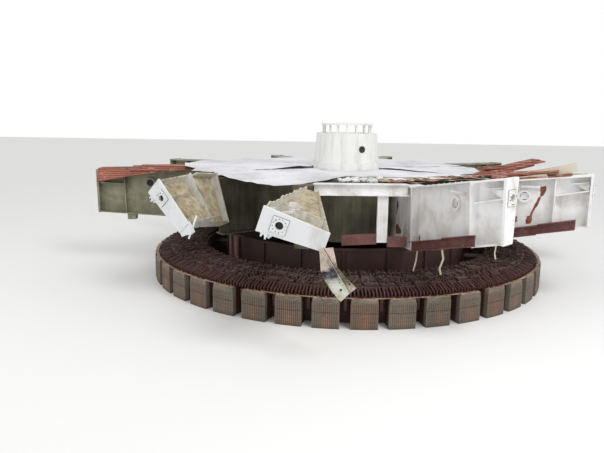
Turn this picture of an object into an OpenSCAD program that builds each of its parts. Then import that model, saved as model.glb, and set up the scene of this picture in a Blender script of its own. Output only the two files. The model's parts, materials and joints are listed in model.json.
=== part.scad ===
// Rotor of a large slow hydroelectric generator with the wrecked upper bracket
// still standing on its shaft. Cut off level at the water line, z = 0.
// Origin on the shaft axis at the water line, +Z up, -Y towards the open side.

/* [Rotor] */
// Radius over the pole faces
pole_face_r = 5900; // [5600:10:6200]
// Number of poles round the rim
pole_count = 42; // [36:2:48]
// Height of the pole tops above the water line
pole_top_z = 700; // [500:10:900]
// Width of a pole face along the ring
shoe_w = 630; // [500:10:700]
// Radial depth of the pole shoe
shoe_d = 130; // [80:5:160]
// Width of the pole body inside its coil
pole_body_w = 390; // [300:10:420]
// Thickness of the coil on each side of the pole body
coil_t = 90; // [50:5:100]
// Thickness of the end plate that clamps a pole's laminations
end_plate_t = 80; // [40:5:120]
// Radial width of the damper ring
damper_w = 90; // [60:5:110]
// Thickness of the damper ring
damper_t = 14; // [8:1:20]
// Radial depth of a pole, from the rim to its face
pole_depth = 460; // [420:10:520]
// Radial depth of the rim
rim_depth = 1110; // [900:10:1200]
// Height of the rim's top above the water line
rim_top_z = 860; // [760:10:1000]
// Height of the segment packs on the rim's top
segment_t = 70; // [40:5:120]
// Ribs on the rim for each pole
ribs_per_pole = 4; // [2:1:4]

/* [Hub] */
// Gap between the hub drum and the rim
hub_gap = 630; // [400:10:800]
// Plate thickness of the hub drum
hub_t = 50; // [30:5:80]
// Height of the hub drum's top above the water line
hub_top_z = 1385; // [1200:10:1400]
// Number of panels round the hub drum
hub_panels = 20; // [16:1:24]
// Number of spider arms between drum and rim
spider_count = 10; // [8:1:12]
// Radius of the shaft
shaft_r = 720; // [600:10:850]
// Height of the shaft's top above the water line
shaft_top_z = 2600; // [2400:10:2800]

/* [Bracket] */
// Number of arms round the bracket
arm_count = 10; // [8:1:12]
// Turn of the first arm from the -Y direction
arm_first_az = 23; // [0:1:36]
// Height of the bracket's underside above the water line
bracket_z = 1470; // [1420:10:1600]
// Height of the bracket drum
drum_h = 1650; // [1400:10:1800]
// Radius of the bracket drum
drum_r = 3350; // [3200:10:3500]
// Plate thickness of webs and walls
web_t = 30; // [16:2:50]
// Plate thickness of flanges
flange_t = 36; // [20:2:60]
// Height of the arm roots above the bracket's underside
root_lift = 60; // [40:5:120]
// Radius where the outer arms begin
root_r = 4600; // [4400:10:4800]
// Length of an outer arm
arm_len = 3060; // [2600:10:3400]
// Depth of an arm at its outer end
arm_end_h = 1330; // [1100:10:1500]
// Width of an arm's upper flange
top_flange_w = 500; // [400:10:600]
// Width of an arm's lower flange
low_flange_w = 370; // [300:10:450]
// Distance of an arm's outer stiffener from its end plate
outer_bay = 800; // [600:10:1000]
// Radius of the round port in an arm's web
port_r = 110; // [60:5:150]
// Distance of the port from the outer stiffener
port_back = 750; // [600:10:900]

/* [End plates] */
// Thickness of an arm's end plate
end_t = 60; // [30:5:90]
// Radius of the jack hole through an end plate
jack_r = 82; // [60:1:120]
// Distance of the jack hole below the plate's upper edge
jack_drop = 400; // [300:10:600]
// Side of the raised square pad round the jack hole
pad_w = 310; // [290:10:360]
// Height of the raised pad
pad_t = 30; // [10:5:50]
// Pitch circle of the bolts round the jack hole
pad_pcd = 262; // [240:2:280]
// Radius of the bolt holes round the jack hole
pad_hole_r = 12; // [8:1:16]

/* [Cap] */
// Radius of the cap at its base
cap_r = 1000; // [900:10:1100]
// Height of the cap's wall above the deck
cap_h = 1120; // [1000:10:1400]
// Radius of the cage on top of the cap
cage_r = 800; // [700:10:900]
// Height of the cage
cage_h = 290; // [200:10:400]
// Number of posts in the cage
cage_posts = 16; // [12:1:24]

/* [Covers] */
// Thickness of the deck covers
cover_t = 24; // [10:2:40]

/* [Clearances] */
// Radial clearance of the shaft in its guide bearing
bearing_clear = 0.3; // [0.2:0.1:1]
// Gap between pieces that only just touch
seat = 0.3; // [0.1:0.1:0.5]

/* [Hidden] */
$fn = 96;
pole_step = 360 / pole_count;
pole_phase = 4.9;
arm_step = 360 / arm_count;
deck_z = bracket_z + drum_h;
arm_root_h = drum_h - root_lift - 20;
rim_r = pole_face_r - pole_depth;
rim_bore_r = rim_r - rim_depth;
hub_r = rim_bore_r - hub_gap;
arm_rise = 170;

// Places something at an azimuth measured from -Y, turning towards +X
module at_az(az) {
    rotate([0, 0, az - 90]) children();
}

// A block of a ring: centred on an azimuth, between two radii and two heights
module ring_block(az, width_deg, r1, r2, z1, z2) {
    rotate([0, 0, az - 90 - width_deg / 2])
        rotate_extrude(angle = width_deg)
            translate([r1, z1]) square([r2 - r1, z2 - z1]);
}

module tube(r_out, r_in, h) {
    difference() {
        cylinder(r = r_out, h = h);
        translate([0, 0, -1]) cylinder(r = r_in, h = h + 2);
    }
}

function arc_deg(width, r) = width / r * 180 / PI;

// Rotor

module rotor_shaft() {
    color("dimgray") rotate_extrude()
        polygon([[0, 0], [shaft_r + 380, 0], [shaft_r + 380, 240], [shaft_r + 60, 320],
            [shaft_r + 60, hub_top_z - 400], [shaft_r, hub_top_z - 400],
            [shaft_r, shaft_top_z - 40], [shaft_r - 40, shaft_top_z], [0, shaft_top_z]]);
}

module hub_disc() {
    color("sienna") translate([0, 0, hub_top_z - 400])
        tube(hub_r - hub_t, shaft_r, 60);
}

module hub_drum() {
    color("sienna") {
        tube(hub_r, hub_r - hub_t, hub_top_z);
        for (i = [0 : hub_panels - 1])
            ring_block(i * 360 / hub_panels, arc_deg(70, hub_r), hub_r - 1, hub_r + 45, 0, hub_top_z - 45);
        translate([0, 0, hub_top_z - 45]) tube(hub_r + 50, hub_r - 1, 45);
    }
}

module spider_arms() {
    panel = 360 / hub_panels;
    color("sienna") for (i = [0 : spider_count - 1])
        ring_block((floor(i * hub_panels / spider_count) + 0.5) * panel, arc_deg(420, hub_r),
            hub_r + seat, rim_bore_r - seat, 0, rim_top_z - 260);
}

module rim_core() {
    color("maroon") tube(rim_r, rim_bore_r, rim_top_z);
}

module rim_segments() {
    color("brown") for (i = [0 : pole_count * 2 - 1])
        ring_block(pole_phase + (i + 0.5) * pole_step / 2, pole_step / 2 - arc_deg(60, rim_bore_r),
            rim_bore_r + 60, rim_r - 50, rim_top_z + seat, rim_top_z + segment_t - (i % 3) * 15);
}

module rim_ribs() {
    n = pole_count * ribs_per_pole;
    color("brown") for (i = [0 : n - 1])
        ring_block(pole_phase + (i + 0.5) * 360 / n, arc_deg(140, rim_r),
            rim_r + 2 * seat, rim_r + 50, pole_top_z + 40, rim_top_z - 20);
}

core_top_z = pole_top_z - end_plate_t;
coil_in_r = rim_r + 55;
coil_out_r = pole_face_r - shoe_d - 16;

module pole_core(az) {
    seam_h = 14;
    seam_z = pole_top_z * 0.55;
    shoe_deg = arc_deg(shoe_w, pole_face_r);
    ring_block(az, arc_deg(pole_body_w, coil_out_r), rim_r + 2 * seat, pole_face_r - shoe_d / 2, 0, core_top_z);
    rotate([0, 0, az - 90 - shoe_deg / 2]) rotate_extrude(angle = shoe_deg)
        polygon([[pole_face_r - shoe_d, 0], [pole_face_r, 0],
            [pole_face_r, seam_z - seam_h / 2], [pole_face_r - seam_h, seam_z - seam_h / 2],
            [pole_face_r - seam_h, seam_z + seam_h / 2], [pole_face_r, seam_z + seam_h / 2],
            [pole_face_r, core_top_z], [pole_face_r - shoe_d, core_top_z]]);
}

module pole_cores() {
    color("rosybrown") for (i = [0 : pole_count - 1])
        pole_core(pole_phase + i * pole_step);
}

module pole_coil() {
    w = pole_body_w + 2 * coil_t;
    h = core_top_z + coil_t;
    r = 60;
    translate([coil_in_r, 0, 0]) rotate([90, 0, 90]) linear_extrude(coil_out_r - coil_in_r)
        difference() {
            union() {
                translate([-w / 2, 0]) square([w, h - r]);
                translate([-w / 2 + r, 0]) square([w - 2 * r, h]);
                for (s = [-1, 1]) translate([s * (w / 2 - r), h - r]) circle(r = r, $fn = 32);
            }
            translate([-pole_body_w / 2 - seat, -1]) square([pole_body_w + 2 * seat, core_top_z + 1 + seat]);
        }
}

module pole_coils() {
    color("firebrick") for (i = [0 : pole_count - 1])
        at_az(pole_phase + i * pole_step) pole_coil();
}

module pole_end_plates() {
    w = arc_deg(shoe_w - 20, pole_face_r);
    color("gray") for (i = [0 : pole_count - 1])
        ring_block(pole_phase + i * pole_step, w, pole_face_r - shoe_d + 4, pole_face_r - 6,
            core_top_z + seat, pole_top_z);
}

module damper_segments() {
    color("peru") for (i = [0 : pole_count - 1])
        ring_block(pole_phase + i * pole_step, arc_deg(shoe_w - 60, pole_face_r),
            pole_face_r - 12 - damper_w, pole_face_r - 12, pole_top_z + seat, pole_top_z + damper_t);
}

// Straps that bridge the damper ring between poles; some are torn away
module damper_links() {
    gap = 2 * (pole_face_r - 12) * sin(pole_step / 2) - shoe_w + 60;
    strap_l = gap + 120;
    strap_w = damper_w - 30;
    color("goldenrod") for (i = [0 : pole_count - 1])
        if (i % 7 != 3)
            at_az(pole_phase + (i + 0.5) * pole_step)
                translate([(pole_face_r - 12 - damper_w / 2) * cos(pole_step / 2) - strap_w / 2, -strap_l / 2,
                    pole_top_z + damper_t + seat])
                    cube([strap_w, strap_l, 10]);
}

// Bracket centre

module guide_bearing() {
    color("slategray") translate([0, 0, bracket_z + 250]) difference() {
        cylinder(r = shaft_r + 260, h = 420);
        translate([0, 0, -1]) cylinder(r = shaft_r + bearing_clear, h = 422, $fn = 180);
    }
}

housing_r = shaft_r + 260;

module bearing_housing() {
    color("ivory") translate([0, 0, bracket_z]) difference() {
        union() {
            cylinder(r = housing_r + 60, h = drum_h);
            cylinder(r = housing_r + 200, h = flange_t);
        }
        translate([0, 0, 250]) cylinder(r = housing_r, h = drum_h);
        translate([0, 0, -1]) cylinder(r = shaft_r + 40, h = drum_h);
    }
}

module bracket_ribs() {
    color("ivory") for (i = [0 : arm_count - 1])
        at_az(arm_first_az + i * arm_step)
            difference() {
                translate([housing_r + 40, -web_t / 2, bracket_z + flange_t + seat])
                    cube([drum_r - web_t - housing_r - 40 - seat, web_t, drum_h - 2 * flange_t - 2 * seat]);
                cylinder(r = housing_r + 60 + seat, h = 2 * deck_z);
                translate([2200, 0, bracket_z + drum_h / 2]) rotate([90, 0, 0])
                    cylinder(r = 300, h = 4 * web_t, center = true);
            }
}

module bracket_drum() {
    color("ivory") translate([0, 0, bracket_z + flange_t + seat])
        tube(drum_r, drum_r - web_t, drum_h - 2 * flange_t - 2 * seat);
}

module deck_ring() {
    color("lightgray") translate([0, 0, deck_z - flange_t])
        tube(drum_r, housing_r + 60 + seat, flange_t);
}

module bottom_ring() {
    color("ivory") translate([0, 0, bracket_z])
        tube(drum_r, drum_r - 400, flange_t);
}

// Arms

// Web outline between two depths, from the root (x = 0) outwards
module arm_web(len, h1, h2, rise) {
    rotate([90, 0, 0]) translate([0, 0, -web_t / 2]) linear_extrude(web_t)
        polygon([[0, flange_t], [len, rise + flange_t], [len, rise + h2 - flange_t], [0, h1 - flange_t]]);
}

module arm_flange(len, z1, z2, w) {
    rotate([90, 0, 0]) translate([0, 0, -w / 2]) linear_extrude(w)
        polygon([[0, z1], [len, z2], [len, z2 + flange_t], [0, z1 + flange_t]]);
}

module stiffener(x, z1, z2, w_top, w_low) {
    translate([x - web_t / 2, 0, 0]) rotate([90, 0, 90]) linear_extrude(web_t)
        polygon([[-w_low / 2, z1], [w_low / 2, z1], [w_top / 2, z2], [-w_top / 2, z2]]);
}

function mix(a, b, t) = a + (b - a) * t;

module arm_bay(len, h1, h2, rise) {
    arm_web(len, h1, h2, rise);
    arm_flange(len, 0, rise, low_flange_w);
    arm_flange(len, h1 - flange_t, rise + h2 - flange_t, top_flange_w);
}

// An arm outside the root ring. It rises towards its end, and a struck one is bent
// sideways at its outer stiffener; its stiffeners stay upright
module outer_arm(len, rise, bend = 0, bay = outer_bay) {
    x1 = len - bay;
    k = x1 / len;
    z1 = rise * k;
    h1 = mix(arm_root_h, arm_end_h, k);
    port_x = x1 - port_back;
    port_k = port_x / len;
    port_z = rise * port_k + mix(arm_root_h, arm_end_h, port_k) * 0.69;
    shelf = arm_end_h * 0.69;
    difference() {
        union() {
            arm_bay(x1, arm_root_h, h1, z1);
            stiffener(web_t / 2, flange_t / 2, arm_root_h - flange_t / 2, top_flange_w, low_flange_w);
            stiffener(x1, z1 + flange_t / 2, z1 + h1 - flange_t / 2, top_flange_w - 20, low_flange_w - 34);
            translate([port_x, 0, port_z]) rotate([90, 0, 0])
                cylinder(r = port_r + 60, h = web_t + 120, center = true);
        }
        translate([port_x, 0, port_z]) rotate([90, 0, 0])
            cylinder(r = port_r, h = web_t + 200, center = true);
    }
    translate([x1, 0, z1]) rotate([0, 0, bend]) {
        arm_bay(bay, h1, arm_end_h, rise - z1);
        rotate([90, 0, 0]) translate([0, 0, -low_flange_w / 2]) linear_extrude(low_flange_w)
            polygon([[0, shelf], [bay, rise - z1 + shelf], [bay, rise - z1 + shelf + web_t],
                [0, shelf + web_t]]);
    }
}

module end_plate() {
    h = arm_end_h + 20;
    difference() {
        union() {
            rotate([90, 0, 90]) linear_extrude(end_t)
                polygon([[-low_flange_w / 2 - 10, 0], [low_flange_w / 2 + 10, 0],
                    [top_flange_w / 2 + 10, h], [-top_flange_w / 2 - 10, h]]);
            translate([end_t - 1, -pad_w / 2, h - jack_drop - pad_w / 2])
                cube([pad_t + 1, pad_w, pad_w]);
        }
        translate([-1, 0, h - jack_drop]) rotate([0, 90, 0]) cylinder(r = jack_r, h = end_t + pad_t + 2);
        for (a = [15 : 30 : 359])
            translate([-1, 0, h - jack_drop]) rotate([a, 0, 0]) translate([0, pad_pcd / 2, 0])
                rotate([0, 90, 0]) cylinder(r = pad_hole_r, h = end_t + pad_t + 2, $fn = 24);
    }
}

// Carries an outer arm or its end plate: azimuth of the root and sideways bend
module at_root(az, yaw) {
    at_az(az) translate([root_r + web_t + seat + top_flange_w / 2 * sin(abs(yaw)), 0, bracket_z + root_lift])
        rotate([0, 0, yaw]) children();
}

module end_of(len, rise, bend = 0, bay = outer_bay) {
    translate([len - bay, 0, rise - 10]) rotate([0, 0, bend])
        translate([bay + seat, 0, 0]) children();
}

az_front_right = arm_first_az;
az_right = arm_first_az + arm_step;
az_left = arm_first_az - 3 * arm_step;
az_front = arm_first_az - arm_step;
front_right_len = 3000;
front_right_rise = 750;
front_right_bend = 26;
front_right_bay = 640;
right_len = 2360;
right_rise = 530;
right_yaw = 7.5;
torn_back = 76.4;

// The root of the front left arm is torn off short
module arm_roots() {
    color("ivory") for (i = [0 : arm_count - 1])
        at_az(arm_first_az + i * arm_step) translate([0, 0, bracket_z + root_lift]) difference() {
            union() {
                translate([drum_r - 40, 0, 0]) {
                    arm_web(root_r - drum_r + 40, arm_root_h, arm_root_h, 0);
                    arm_flange(root_r - drum_r + 40, 0, 0, low_flange_w);
                    arm_flange(root_r - drum_r + 40, arm_root_h - flange_t, arm_root_h - flange_t,
                        top_flange_w);
                }
                stiffener(root_r + web_t / 2, 0, arm_root_h, top_flange_w, low_flange_w);
            }
            translate([0, 0, -50]) cylinder(r = drum_r + seat, h = drum_h + 100);
            if (i == arm_count - 2)
                translate([root_r - torn_back, -top_flange_w, -50])
                    cube([2 * torn_back, 2 * top_flange_w, drum_h + 100]);
        }
}

// Cuts what stands between the roots of two arms off square at both
module between_roots(az1) {
    difference() {
        at_az(az1 + arm_step / 2) children();
        for (az = [az1, az1 + arm_step])
            at_az(az) translate([drum_r, -top_flange_w / 2 - seat, bracket_z])
                cube([2 * (root_r - drum_r), top_flange_w + 2 * seat, drum_h + beam_h]);
    }
}

beam_h = 290;
chord_r = root_r * cos(arm_step / 2) - 60;
chord_l = 2 * root_r * sin(arm_step / 2);

// A beam between the roots of two arms
module chord_beam() {
    translate([chord_r - web_t / 2, -chord_l / 2, 0]) cube([web_t, chord_l, beam_h]);
    for (z = [0, beam_h - 24])
        translate([chord_r - 110, -chord_l / 2, z]) cube([220, chord_l, 24]);
}

post_y = 420;
post_w = 260;
post_foot = 220;

// The front beam, lifted off the deck's edge, with a channel post that hangs from it
module front_beam() {
    z = deck_z + 30 - beam_h;
    color("ivory") {
        between_roots(az_front) translate([0, 0, z]) chord_beam();
        at_az(az_front + arm_step / 2) translate([chord_r, post_y, bracket_z + post_foot]) {
            translate([-web_t / 2, 0, 0]) cube([web_t, post_w, z - bracket_z - post_foot + 12]);
            for (y = [0, post_w - web_t])
                translate([-100, y, 0]) cube([100, web_t, z - bracket_z - post_foot + 12]);
        }
    }
}

module side_beams() {
    color("ivory") for (i = [0 : arm_count - 3])
        between_roots(az_front_right + i * arm_step)
            translate([0, 0, deck_z - beam_h - 30]) chord_beam();
}

module arm_front_right() {
    color("ivory") at_root(az_front_right, 0)
        outer_arm(front_right_len, front_right_rise, front_right_bend, front_right_bay);
}

module end_front_right() {
    color("ivory") at_root(az_front_right, 0)
        end_of(front_right_len, front_right_rise, front_right_bend, front_right_bay) end_plate();
}

module arm_right() {
    color("ivory") at_root(az_right, right_yaw) outer_arm(right_len, right_rise);
}

module end_right() {
    color("ivory") at_root(az_right, right_yaw) end_of(right_len, right_rise) end_plate();
}

// The whole arm in the shade keeps a square foot under its outer stiffener
module arm_left() {
    foot = 280;
    foot_z = arm_rise * (arm_len - outer_bay) / arm_len;
    color("ivory") at_root(az_left, 0) {
        outer_arm(arm_len, arm_rise);
        translate([arm_len - outer_bay - foot, -foot / 2, foot_z - 190]) cube([foot - 30, foot, 200]);
    }
}

module end_left() {
    color("ivory") at_root(az_left, 0) end_of(arm_len, arm_rise) end_plate();
}

module arms_back() {
    color("ivory") for (i = [2 : arm_count - 4])
        at_root(arm_first_az + i * arm_step, 0) outer_arm(arm_len, arm_rise);
}

module ends_back() {
    color("ivory") for (i = [2 : arm_count - 4])
        at_root(arm_first_az + i * arm_step, 0) end_of(arm_len, arm_rise) end_plate();
}

// Broken arms, rolled over to the left and still held near the deck. Each bay is flat
// plates in a frame with x along the bay, z across it in the web, and y through the web

function heading(a, b) = atan2(b[0] - a[0], a[1] - b[1]);
function climb(a, b) = atan2(b[2] - a[2], norm([b[0] - a[0], b[1] - a[1]]));

module along(a, b, roll) {
    translate(a) at_az(heading(a, b)) rotate([0, -climb(a, b), 0]) rotate([roll, 0, 0]) children();
}

// A flange along a slanted edge of a web, as wide as w1 at the root and w2 at the end
module edge_flange(len, z1, z2, w1, w2) {
    slant = atan2(z2 - z1, len);
    l = (len - flange_t / 2 * sin(abs(slant))) / cos(slant);
    translate([0, 0, z1]) rotate([0, -slant, 0]) translate([0, 0, -flange_t / 2]) linear_extrude(flange_t)
        polygon([[0, -w1 / 2], [l, -w2 / 2], [l, w2 / 2], [0, w1 / 2]]);
}

module fan_bay(len, h1, h2, w1, w2) {
    rotate([90, 0, 0]) translate([0, 0, -web_t / 2]) linear_extrude(web_t)
        polygon([[0, -h1 / 2], [len, -h2 / 2], [len, h2 / 2], [0, h1 / 2]]);
    edge_flange(len, h1 / 2 - flange_t / 2, h2 / 2 - flange_t / 2, w1 * top_flange_w, w2 * top_flange_w);
    edge_flange(len, flange_t / 2 - h1 / 2, flange_t / 2 - h2 / 2, w1 * low_flange_w, w2 * low_flange_w);
}

module cross_plate(x, h, w_top, w_low) {
    stiffener(x, -h / 2 + 2, h / 2 - 2, w_top, w_low);
}

// Place of a point: azimuth, radius and height
function spot(az, r, z) = [r * sin(az), -r * cos(az), z];

front_root = spot(az_front + 3, root_r + 38.6, deck_z - 150);
front_end = spot(-7, root_r + 3250, deck_z - 480);
front_roll = 71;
front_root_h = 330;

module arm_front() {
    len = norm(front_end - front_root);
    x1 = len - outer_bay;
    h1 = mix(front_root_h, arm_end_h, x1 / len);
    color("ivory") along(front_root, front_end, front_roll) {
        fan_bay(len, front_root_h, arm_end_h, 0.3, 0.96);
        cross_plate(x1, h1, top_flange_w * 0.66, low_flange_w * 0.7);
        rotate([90, 0, 0]) translate([0, 0, -low_flange_w * 0.3]) linear_extrude(low_flange_w * 0.6)
            polygon([[x1, h1 * 0.1], [len, arm_end_h * 0.12], [len, arm_end_h * 0.12 + web_t],
                [x1, h1 * 0.1 + web_t]]);
    }
}

module broken_end(a, b, roll) {
    along(b, 2 * b - a, roll) translate([seat, 0, -arm_end_h / 2 - 10]) end_plate();
}

module end_front() {
    color("ivory") broken_end(front_root, front_end, front_roll);
}

left_root = spot(-48.6, root_r - 20, deck_z - 640);
left_mid = spot(-46, root_r + 720, deck_z - 560);
left_end = spot(-43, root_r + 1690, deck_z - 600);
left_roll = [20, 34, 50];

module arm_front_left() {
    h = [1390, 1370, arm_end_h];
    color("ivory") {
        along(left_root, left_mid, left_roll[0] + 5)
            fan_bay(norm(left_mid - left_root), h[0], h[1], 0.9, 0.9);
        along(left_root, left_mid, left_roll[0] + 5)
            cross_plate(web_t / 2, h[0], top_flange_w, low_flange_w);
        along(left_mid, left_end, left_roll[1])
            cross_plate(0, h[1] + 20, top_flange_w * 0.94, low_flange_w * 0.94);
        along(left_mid, left_end, left_roll[2] - 6) {
            fan_bay(norm(left_end - left_mid), h[1], h[2], 0.9, 0.94);
            translate([0, -low_flange_w * 0.4, h[1] * 0.12])
                cube([norm(left_end - left_mid) - 1, low_flange_w * 0.8, web_t]);
        }
    }
}

module end_front_left() {
    color("ivory") broken_end(left_mid, left_end, left_roll[2] - 6);
}

// Angle beams of the air shield, in red-brown primer, along the arm bottoms
module shield_beam(len, slope) {
    for (p = [[0, 24, 0, 250], [24, 180, 0, 20], [24, 120, 230, 250]])
        rotate([90, 0, 0]) translate([0, 0, p[0]]) linear_extrude(p[1] - p[0] * (p[0] > 0 ? 1 : 0))
            polygon([[0, p[2]], [len, p[2] + slope * len], [len, p[3] + slope * len], [0, p[3]]]);
}

// Two lengths of shield beam in a row, the outer one a little higher
module shield_pair(first, second, slope) {
    translate([60, -low_flange_w / 2 - seat, -10]) {
        shield_beam(first, slope);
        translate([first + seat, 0, slope * first + 22]) shield_beam(second, slope);
    }
}

module shield_front_right() {
    color("brown") {
        at_root(az_front_right, 0)
            shield_pair(1460, 1080, front_right_rise / front_right_len);
        between_roots(az_front) translate([chord_r + 70, chord_l / 2, bracket_z + root_lift + 60])
            rotate([0, 0, -90]) shield_beam(chord_l / 2 - post_y - post_w - seat, 0);
    }
}

module shield_right() {
    color("brown") at_root(az_right, right_yaw) shield_pair(1140, 900, right_rise / right_len);
}

// Loose length of the same shield, caught on the foot of the front post
module loose_angle() {
    drop = 40;
    turn = 3;
    color("brown") at_az(az_front + arm_step / 2)
        translate([chord_r + 20, post_y - seat + drop * sin(turn), bracket_z + post_foot - drop])
            rotate([0, 0, -90]) rotate([0, turn, 0]) shield_beam(860, 0);
}

// Bent panel that hangs off the broken front arm's end plate. It is creased down its
// middle, and each station of the crease, from the top down, is [x, z, width, distance out]
panel_stations = [[-330, 2310, 270, 0], [-260, 1900, 340, 60], [-60, 1650, 400, 110], [105, 1480, 410, 130]];
panel_t = 20;
panel_fold = -19;
panel_y = front_end[1] - end_t + 0.8;

// One flat length between two stations: a wing each side of the crease
module panel_length(a, b) {
    run = norm([b[0] - a[0], b[1] - a[1]]);
    l = norm([run, b[3] - a[3]]);
    lap = 8;
    translate([a[0], panel_y - a[3], a[1]]) rotate([0, -atan2(b[0] - a[0], a[1] - b[1]), 0])
        rotate([-atan2(b[3] - a[3], run), 0, 0])
            for (s = [-1, 1]) rotate([0, 0, s * panel_fold]) mirror([s < 0 ? 1 : 0, 0, 0])
                rotate([90, 0, 0]) translate([0, 0, -panel_t / 2]) linear_extrude(panel_t)
                    polygon([[-lap, lap], [a[2] / 2, lap], [b[2] / 2, -l - lap], [-lap, -l - lap]]);
}

module hanging_panel() {
    color("wheat") for (i = [0 : len(panel_stations) - 2])
        panel_length(panel_stations[i], panel_stations[i + 1]);
}

// Deck covers: thin sheets left lying on the deck, one of them tilted up towards an azimuth.
// Each corner is an azimuth and a radius
module cover(corners, az = 0, tilt = 0) {
    flat = [for (c = corners) [c[1] * sin(c[0]), -c[1] * cos(c[0])]];
    hinge = min([for (f = flat) f[0] * sin(az) - f[1] * cos(az)]);
    translate([0, 0, deck_z + seat]) at_az(az) translate([hinge, 0, 0]) rotate([0, -tilt, 0])
        translate([-hinge, 0, 0]) rotate([0, 0, 90 - az]) linear_extrude(cover_t) difference() {
            polygon(flat);
            circle(r = cap_r + 60);
        }
}

module cover_front() {
    color("gainsboro") cover([[-82, 1080], [-46, root_r - 20], [-24, root_r + 250], [-13, root_r - 350],
        [5, root_r - 800], [20, root_r - 400], [50, root_r - 300], [80, 1080], [0, 500]]);
}

module cover_left() {
    color("gainsboro") cover([[-84, 1100], [-48, root_r + 40], [-70, root_r - 300], [-81, root_r - 180],
        [-90, root_r + 750], [-100, root_r - 400], [-108, 1150]], -80, 2);
}

module cover_right() {
    color("gainsboro") cover([[82, 1080], [54, root_r - 200], [80, root_r - 300], [108, root_r - 500],
        [108, 1100]]);
}

module cover_back() {
    color("gainsboro") cover([[112, 1140], [112, root_r - 400], [142, root_r - 100], [176, root_r + 200],
        [208, root_r + 100], [232, root_r + 300], [255, root_r + 250], [250, 1140]]);
}

// Torn floor: layers of board and covering, heaped on two arms
module slab(x, y, z, l, w, t, turn, tip) {
    translate([x, y, z]) rotate([tip, 0, turn]) cube([l, w, t]);
}

// One layer lies on the left arm and hangs over its near side, another leans on it
module layers_left() {
    top = arm_root_h + 3;
    drop = arm_rise + arm_end_h - arm_root_h;
    sheet_l = arm_len - 750;
    at_root(az_left, 0) rotate([0, -atan2(drop, arm_len), 0]) difference() {
        union() {
            slab(700, -top_flange_w / 2 + 20, top, sheet_l, top_flange_w - 20, 45, 0, 0);
            translate([700, top_flange_w / 2 - 12, top + 8]) rotate([-58, 0, 0]) linear_extrude(36)
                polygon([[0, 0], [sheet_l, 0], [sheet_l, 430], [200, 90]]);
            slab(100, -80, top + 45, 1900, 430, 50, 1, -14);
            slab(260, -180, top + 60, 1500, 380, 45, -2, -5);
        }
        translate([-100, -top_flange_w, top - 500]) cube([arm_len + 200, 1.5 * top_flange_w + seat, 500]);
    }
}

module layers_right() {
    lean = atan2(right_rise + arm_end_h - arm_root_h, right_len);
    base = arm_root_h * cos(lean) + seat;
    at_root(az_right, right_yaw) rotate([0, -lean, 0]) {
        slab(210, -top_flange_w / 2 + 40, base, 1900, 450, 50, 0, 0);
        slab(160, -200, base + 43, 1500, 420, 50, 6, 9);
        slab(560, -140, base + 106, 1250, 330, 45, -5, 7);
    }
}

module torn_floor() {
    color("indianred") {
        layers_left();
        layers_right();
    }
}

// Cap over the shaft's upper end

module cap_base() {
    color("white") translate([0, 0, deck_z]) tube(cap_r + 40, cap_r - 220, 240);
}

module cap_drum() {
    color("white") translate([0, 0, deck_z + 240]) rotate_extrude()
        polygon([[cap_r - 60, 0], [cap_r, 0], [cap_r - 60, cap_h - 240], [0, cap_h - 240],
            [0, cap_h - 270], [cap_r - 120, cap_h - 270]]);
}

module cap_cage() {
    ring_t = 50;
    color("white") translate([0, 0, deck_z + cap_h]) {
        for (i = [0 : cage_posts - 1])
            rotate([0, 0, i * 360 / cage_posts]) translate([cage_r - 60, 0, 0])
                cylinder(r = 24, h = cage_h - ring_t + 5);
        translate([0, 0, cage_h - ring_t]) tube(cage_r, cage_r - 300, ring_t);
    }
}

rotor_shaft();
hub_disc();
hub_drum();
spider_arms();
rim_core();
rim_segments();
rim_ribs();
pole_cores();
pole_coils();
pole_end_plates();
damper_segments();
damper_links();
guide_bearing();
bearing_housing();
bracket_ribs();
bracket_drum();
deck_ring();
bottom_ring();
arm_roots();
front_beam();
side_beams();
arm_front_right();
end_front_right();
arm_right();
end_right();
arm_left();
end_left();
arms_back();
ends_back();
arm_front();
end_front();
arm_front_left();
end_front_left();
shield_front_right();
shield_right();
hanging_panel();
cover_front();
cover_left();
cover_right();
cover_back();
torn_floor();
loose_angle();
cap_base();
cap_drum();
cap_cage();
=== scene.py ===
import json
import math
import random

import bmesh
import bpy
from mathutils import Matrix, Vector, noise


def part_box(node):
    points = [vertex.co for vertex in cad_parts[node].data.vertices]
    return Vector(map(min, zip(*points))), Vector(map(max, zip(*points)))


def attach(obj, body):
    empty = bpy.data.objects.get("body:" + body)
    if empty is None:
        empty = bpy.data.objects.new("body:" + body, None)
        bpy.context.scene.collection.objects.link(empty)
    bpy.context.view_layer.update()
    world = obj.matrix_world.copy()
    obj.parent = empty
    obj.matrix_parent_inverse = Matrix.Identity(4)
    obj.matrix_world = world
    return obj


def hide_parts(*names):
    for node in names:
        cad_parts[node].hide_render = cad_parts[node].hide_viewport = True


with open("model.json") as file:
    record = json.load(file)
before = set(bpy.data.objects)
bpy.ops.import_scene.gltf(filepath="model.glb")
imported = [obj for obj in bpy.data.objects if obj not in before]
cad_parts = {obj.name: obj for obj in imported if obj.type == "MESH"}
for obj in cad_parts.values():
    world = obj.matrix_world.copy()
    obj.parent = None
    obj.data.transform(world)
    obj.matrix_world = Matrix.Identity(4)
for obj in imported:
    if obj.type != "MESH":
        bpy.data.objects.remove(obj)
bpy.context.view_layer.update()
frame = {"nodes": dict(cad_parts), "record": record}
nodes = frame["nodes"]
print("frame loaded,", len(nodes), "nodes")

# Camera: fitted to the ring of poles, metres over the water line
view = {
    "place": (0.0, -18.73, 4.77), "pitch": 0.1858, "yaw": -0.0727, "roll": 0.013, "lens": 35.38, "far": 500,
}


def placed(name, data):
    item = bpy.data.objects.new(name, data)
    bpy.context.scene.collection.objects.link(item)
    return item


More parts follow.
